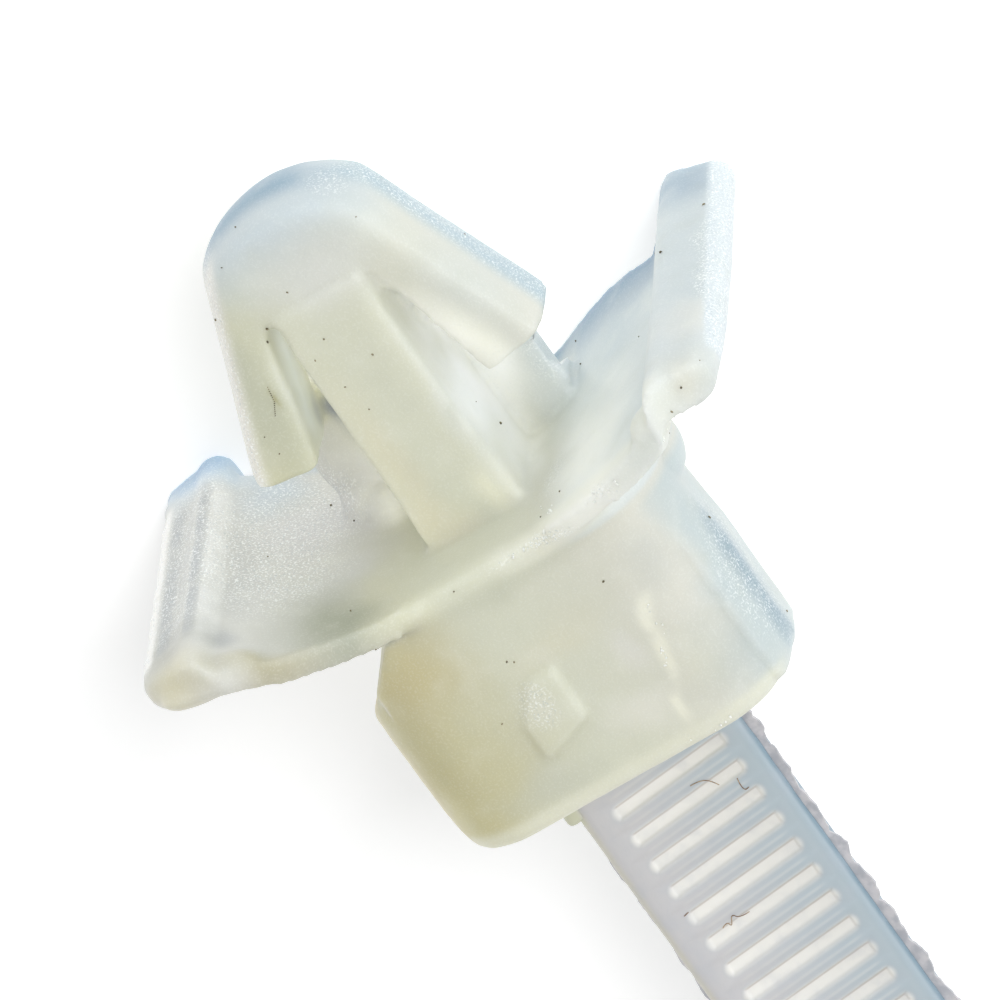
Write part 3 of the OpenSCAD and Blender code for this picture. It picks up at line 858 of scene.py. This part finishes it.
def layWings(colours, spots, wavy, mist):
    # the thin wings; gives back the white sides of their beads
    plainX, plainY, plainZ = spots.T
    y = wavy[:, 1]
    thin = np.tile(np.array(tone(194, 203, 206)[:3]), (len(spots), 1))
    lay(thin, ramp(y, -2, 2), tone(203, 204, 200))
    for centre, size, turn, shade, share in wingTones:
        lay(thin, patchAt(wavy, centre, size, turn) * share, tone(*shade))
    # right wing: blue along its far edge, painted cool shade of the blue sky light; white outer side of its
    # bead
    edge = ramp(plainZ + farReach(-plainY), 3.4, -0.2)
    edge = edge * ramp(y, -1.6, -2.2) * ramp(plainY, -6.7, -6.3)
    lay(thin, edge, tone(88, 128, 160))
    side = -8.12 + plainZ * 0.016
    band = ramp(plainY - side, 0.06, -0.06) * ramp(plainZ, 4.2, 3.7)
    lay(thin, band, tone(206, 215, 220))
    # left bead: painted highlights and shade of its ridges, then its ragged white rim
    for middle, half, shade, share in beadRidgeShading:
        ridgeShade = ramp(np.abs(plainY - middle), half, half * 0.3)
        ridgeShade = ridgeShade * ramp(plainZ, 4.3, 3.5) * ramp(plainZ, -4.8, -3.4)
        lay(thin, ridgeShade * share * (0.6 + 0.4 * ramp(mist, -0.4, 0.4)), tone(*shade))
    rim = ramp(plainY, 8.1, 8.3) * ramp(plainZ, 4.4, 3.8) * ramp(plainZ, -5.0, -4.4)
    lay(thin, rim, tone(236, 236, 234))
    wing = ramp(np.abs(y), 1.6, 3.4) * ramp(plainX, 0.95, 0.7) * ramp(plainX, -3.1, -2.9)
    colours += wing[:, None] * (thin - colours)
    return np.maximum(band, rim)


def layHead(colours, spots, wavy, mist):
    # cool right side, painted blue shade of the sky light; pale lower edge and left rim
    plainX, plainY, plainZ = spots.T
    x, y, z = wavy.T
    wide = np.abs(y)
    head = ramp(plainX, -3.0, -3.4)
    lay(colours, head * ramp(y, -4.0, -4.9) * 0.9, tone(188, 200, 203))
    lay(colours, ramp(plainX, -4.2, -5.2) * ramp(plainY, -4.85, -5.1) * 0.95, tone(122, 150, 167))
    lay(colours, ramp(plainX, -8.7, -9.0) * ramp(z, 2.6, 3.4) * 0.7, tone(219, 220, 204))
    lay(colours, head * ramp(plainY, 4.5, 4.75) * 0.7, tone(220, 212, 184))
    # bright seam by the slot
    away = np.abs(y + 3.18 + (x + 5.08) * 0.29)
    seam = ramp(mist, -0.5, 0.2) * ramp(away, 0.32, 0.05)
    seam = seam * ramp(x, -8.9, -8.2) * ramp(x, -4.9, -5.4)
    lay(colours, seam * ramp(z, 3.2, 3.6) * 0.7, tone(236, 236, 222))
    # crease between the wings and the head
    front = plainZ - 4.2 - ramp(wide, 1.6, 7.0) * 1.4
    crease = ramp(np.abs(front), 0.9, 0.2) * ramp(wide, 7.2, 6.4)
    crease = crease * ramp(plainX, -3.1, -2.8) * ramp(y, 0.0, -2.0)
    lay(colours, crease * 0.5, tone(232, 233, 222))


def paintBody(body):
    spots = np.empty(len(body.data.vertices) * 3)
    body.data.vertices.foreach_get("co", spots)
    spots = spots.reshape(-1, 3)
    wavy = driftAt(spots, 0.8, 0.35)
    mist = np.array([noise.fractal(Vector(spot) * 1.1, 1.0, 2.0, 4) for spot in spots])
    colours = layMilkAndShade(wavy)
    rough = layFlanks(colours, spots, wavy)
    white = layWings(colours, spots, wavy, mist)
    layHead(colours, spots, wavy, mist)
    # cloudiness
    lay(colours, ramp(mist, 0.1, 0.9) * 0.15, tone(228, 230, 222))
    lay(colours, ramp(mist, -0.1, -0.9) * 0.1, tone(180, 184, 168))
    for centre, size, turn, share in roughPlaces:
        rough = np.maximum(rough, patchAt(wavy, centre, size, turn, 0.6) * share)
    rough = np.maximum(np.maximum(rough, 0.13), white)
    tint = body.data.attributes.new("tint", "FLOAT_COLOR", "POINT")
    tint.data.foreach_set("color", np.concatenate((colours, np.ones((len(spots), 1))), axis=1).ravel())
    grain = body.data.attributes.new("grain", "FLOAT", "POINT")
    grain.data.foreach_set("value", rough)
    print("body tones laid")


def makeBodyNylon():
    mat, tree, shader = startMaterial("milkyNylon")
    place = millimetres(tree)
    colour = addNode(tree, "ShaderNodeAttribute", attribute_name="tint").outputs["Color"]
    rough = addNode(tree, "ShaderNodeAttribute", attribute_name="grain").outputs["Fac"]
    # painted glints: white specks over the rough places, darker specks beside them
    paintedGlint = cloud(tree, place, 19.0, 0.52, 0.68, 1.0)
    dim = cloud(tree, place, 17.0, 0.42, 0.3, 1.0)
    colour = mixColour(tree, both(tree, rough, paintedGlint, 0.75), colour, tone(246, 250, 250))
    colour = mixColour(tree, both(tree, rough, dim, 0.45), colour, tone(166, 180, 188))
    tree.links.new(colour, shader.inputs["Base Color"])
    shader.inputs["Roughness"].default_value = 0.38
    grain = addNode(tree, "ShaderNodeTexNoise")
    grain.inputs["Scale"].default_value = 9.0
    grain.inputs["Detail"].default_value = 2
    tree.links.new(place, grain.inputs["Vector"])
    strength = sums(tree, "ADD", both(tree, rough, 0.45), 0.08)
    bump(tree, shader, grain.outputs["Fac"], strength, 0.06)
    return mat


def makeStrapNylon():
    form = strapForm
    mat, tree, shader = startMaterial("strapNylon", 0.25, 0.0002)
    place = millimetres(tree)
    y = axes(tree, place)[1]
    wavyY = axes(tree, wobble(tree, place, 1.2, 0.6))[1]
    wide = sums(tree, "ABSOLUTE", y, 0.0)
    along = addNode(tree, "ShaderNodeAttribute", attribute_name="along")
    # where a point lies in its bar's pitch, from -0.5 to 0.5
    turn = sums(tree, "SUBTRACT", along.outputs["Fac"], form["firstBar"])
    turn = sums(tree, "DIVIDE", turn, form["pitch"])
    whole = sums(tree, "ROUND", turn, 0.0)
    across = sums(tree, "MULTIPLY", sums(tree, "SUBTRACT", turn, whole), form["pitch"])
    offset = sums(tree, "ABSOLUTE", across, 0.0)
    barEnd = form["barLong"] / 2 - form["floor"] / 2
    tip = sums(tree, "MAXIMUM", sums(tree, "SUBTRACT", wide, barEnd), 0.0)
    far = sums(tree, "SQRT", sums(tree, "ADD", both(tree, offset, offset), both(tree, tip, tip)), 0.0)
    onTop = fade(tree, along.outputs["Fac"], form["tailStart"] - 0.6, form["tailStart"] - 1.2)
    # bright pocket floors: painted light, as through the thin nylon
    pocketLight = both(tree, fade(tree, far, form["floor"] * 0.95, form["floor"] * 0.3), onTop)
    colour = mixColour(tree, fade(tree, wavyY, 2.0, -2.0), tone(198, 198, 201), tone(174, 187, 195))
    # a pale line between the bars: painted reflection
    gapGleam = both(tree, fade(tree, offset, 0.36, 0.43), fade(tree, wide, 1.8, 1.4), 0.35)
    colour = mixColour(tree, gapGleam, colour, tone(214, 214, 212))
    rim = both(tree, fade(tree, far, form["floor"] * 1.1, form["floor"] * 0.7), onTop, 0.4)
    colour = mixColour(tree, rim, colour, tone(186, 190, 194))
    colour = mixColour(tree, both(tree, pocketLight, 0.9), colour, tone(234, 233, 229))
    # a brown line along one side of each bar
    line = both(tree, fade(tree, across, -0.11, -0.15), fade(tree, across, -0.21, -0.17))
    line = both(tree, line, fade(tree, wide, 1.72, 1.6), onTop)
    colour = mixColour(tree, both(tree, line, 0.4), colour, tone(176, 162, 150))
    # blue right edge, painted cool shade of the blue sky light; warm left edge and step
    colour = mixColour(tree, both(tree, fade(tree, y, -2.0, -2.3), 0.6), colour, tone(152, 170, 182))
    colour = mixColour(tree, both(tree, fade(tree, y, -2.26, -2.36), 0.8), colour, tone(120, 144, 161))
    colour = mixColour(tree, both(tree, fade(tree, y, 2.35, 2.55), 0.6), colour, tone(208, 206, 188))
    step = both(tree, fade(tree, y, 2.4, 2.6), fade(tree, along.outputs["Fac"], 1.45, 1.2))
    colour = mixColour(tree, step, colour, tone(200, 202, 180))
    patches = both(tree, cloud(tree, place, 1.6, 0.45, 0.75, 3.0), 0.25)
    colour = mixColour(tree, patches, colour, tone(180, 186, 196))
    tree.links.new(colour, shader.inputs["Base Color"])
    grain = addNode(tree, "ShaderNodeTexNoise")
    grain.inputs["Scale"].default_value = 8.0
    tree.links.new(place, grain.inputs["Vector"])
    bump(tree, shader, grain.outputs["Fac"], 0.1, 0.05)
    return mat


def makeFlashNylon():
    mat, tree, shader = startMaterial("flashNylon", 0.3, 0.0002)
    place = millimetres(tree)
    patches = cloud(tree, place, 3.0, 0.35, 0.65, 3.0)
    colour = mixColour(tree, patches, tone(166, 168, 176), tone(192, 191, 196))
    tree.links.new(colour, shader.inputs["Base Color"])
    return mat


# bright crumbs of nylon, painted white as glints
def makeCrumbGlint():
    mat, tree, shader = startMaterial("crumbGlintNylon", 0.5, 0.0002)
    place = millimetres(tree)
    colour = mixColour(tree, cloud(tree, place, 5.0, 0.4, 0.6), tone(236, 240, 234), tone(250, 252, 248))
    tree.links.new(colour, shader.inputs["Base Color"])
    return mat


def makeDustDark():
    mat, tree, shader = startMaterial("dustDark", 0.0)
    place = millimetres(tree)
    colour = mixColour(tree, cloud(tree, place, 6.0, 0.4, 0.6), tone(84, 78, 58), tone(140, 130, 102))
    tree.links.new(colour, shader.inputs["Base Color"])
    shader.inputs["Roughness"].default_value = 0.7
    return mat


def makeFibreBrown():
    mat, tree, shader = startMaterial("fibreBrown", 0.0)
    place = millimetres(tree)
    colour = mixColour(tree, cloud(tree, place, 6.0, 0.4, 0.6), tone(120, 92, 66), tone(168, 146, 116))
    tree.links.new(colour, shader.inputs["Base Color"])
    shader.inputs["Roughness"].default_value = 0.6
    return mat


floorForm = {
    "size": 4,
    "height": -0.00606,
    "grey": (0.74, 0.74, 0.74, 1),
    "glow": 0.615,       # keeps the paper white where the tie's shade is soft
}


def makeFloor():
    bpy.ops.mesh.primitive_plane_add(size=floorForm["size"], location=(0, 0, floorForm["height"]))
    floor = bpy.context.object
    floor.name = "floor"
    mat = bpy.data.materials.new("paper")
    mat.use_nodes = True
    shader = mat.node_tree.nodes["Principled BSDF"]
    shader.inputs["Base Color"].default_value = floorForm["grey"]
    shader.inputs["Roughness"].default_value = 0.8
    shader.inputs["Specular IOR Level"].default_value = 0.1
    shader.inputs["Emission Color"].default_value = (1, 1, 1, 1)
    shader.inputs["Emission Strength"].default_value = floorForm["glow"]
    floor.data.materials.append(mat)
    return floor


# camera, and the sky that tints the tie's right side
shot = {
    "right": (-0.5479, -0.8358, -0.0343),
    "back": (0.3508, -0.2668, 0.8976),
    "middle": (-0.002372, -0.000574, 0.000737),
    "distance": 0.2957,
    "lens": 430,
    "world": 0.25,
    "coolSide": (0.6, -0.8, 0.0),
    "coolFrom": -0.1,
    "coolTo": 0.85,
    "skyWarm": (1.0, 0.985, 0.96, 1),
    "skyCool": (0.36, 0.58, 0.72, 1),
}


def makeCamera():
    back = Vector(shot["back"]).normalized()
    right = Vector(shot["right"])
    right = (right - back * right.dot(back)).normalized()
    up = back.cross(right)
    spot = Vector(shot["middle"]) + back * shot["distance"]
    data = bpy.data.cameras.new("camera")
    data.lens = shot["lens"]
    data.sensor_width = 36
    data.clip_start = 0.01
    data.clip_end = 100
    camera = bpy.data.objects.new("camera", data)
    camera.matrix_world = Matrix((
        (right.x, up.x, back.x, spot.x), (right.y, up.y, back.y, spot.y),
        (right.z, up.z, back.z, spot.z), (0, 0, 0, 1)))
    bpy.context.scene.collection.objects.link(camera)
    bpy.context.scene.camera = camera
    return right, up, back


# lamps, each by its way in the picture: right, up, towards the camera
lamps = (
    {"name": "floorKey", "way": (0.2, 0.12, 1.0), "power": 1.6, "spread": 25, "onTie": False},
    {"name": "front", "way": (0.35, 0.1, 1.0), "power": 1.5, "spread": 80, "onTie": True},
    {"name": "right", "way": (1.0, 0.1, 0.35), "power": 1.3, "spread": 80, "onTie": True},
    {"name": "left", "way": (-1.0, -0.2, 0.5), "power": 0.8, "spread": 80, "onTie": True},
    {"name": "low", "way": (0.0, -1.0, 0.4), "power": 0.7, "spread": 80, "onTie": True},
    {"name": "high", "way": (-0.2, 1.0, 0.4), "power": 1.6, "spread": 80, "onTie": True},
)


def litSet(name, things):
    made = bpy.data.collections.new(name)
    for thing in things:
        made.objects.link(thing)
    return made


def makeLight(right, up, back, tieLit, floorLit):
    world = bpy.data.worlds.new("studio")
    bpy.context.scene.world = world
    world.use_nodes = True
    tree = world.node_tree
    sky = addNode(tree, "ShaderNodeTexCoord")
    lean = addNode(tree, "ShaderNodeVectorMath", operation="DOT_PRODUCT")
    lean.inputs[1].default_value = shot["coolSide"]
    tree.links.new(sky.outputs["Generated"], lean.inputs[0])
    spread = addNode(tree, "ShaderNodeMapRange", interpolation_type="SMOOTHSTEP")
    spread.inputs["From Min"].default_value = shot["coolFrom"]
    spread.inputs["From Max"].default_value = shot["coolTo"]
    tree.links.new(lean.outputs["Value"], spread.inputs[0])
    colour = mixColour(tree, spread.outputs[0], shot["skyWarm"], shot["skyCool"])
    tree.links.new(colour, tree.nodes["Background"].inputs[0])
    tree.nodes["Background"].inputs[1].default_value = shot["world"]
    for lamp in lamps:
        data = bpy.data.lights.new(lamp["name"], "SUN")
        data.angle = math.radians(lamp["spread"])
        data.energy = lamp["power"]
        light = bpy.data.objects.new(lamp["name"], data)
        across, rise, ahead = lamp["way"]
        way = (right * across + up * rise + back * ahead).normalized()
        light.rotation_euler = way.to_track_quat("Z", "Y").to_euler()
        bpy.context.scene.collection.objects.link(light)
        if lamp["onTie"]:
            # light goes round in the milky nylon, so the tie throws no hard shade on itself
            light.light_linking.receiver_collection = tieLit
            light.light_linking.blocker_collection = floorLit
        else:
            light.light_linking.receiver_collection = floorLit
    bpy.context.scene.view_settings.view_transform = "Standard"


looks = {
    "body": makeBodyNylon(),
    "strap": makeStrapNylon(),
    "flash": makeFlashNylon(),
    "crumb": makeCrumbGlint(),
    "dust": makeDustDark(),
    "fibre": makeFibreBrown(),
}
body = makeBody()
strap = makeStrap()
addFibres(strap)
for piece in (body, strap):
    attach(piece, "root")
    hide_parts("cable_tie")
floor = makeFloor()
makeLight(*makeCamera(), litSet("tieLit", (body, strap)), litSet("floorLit", (floor,)))
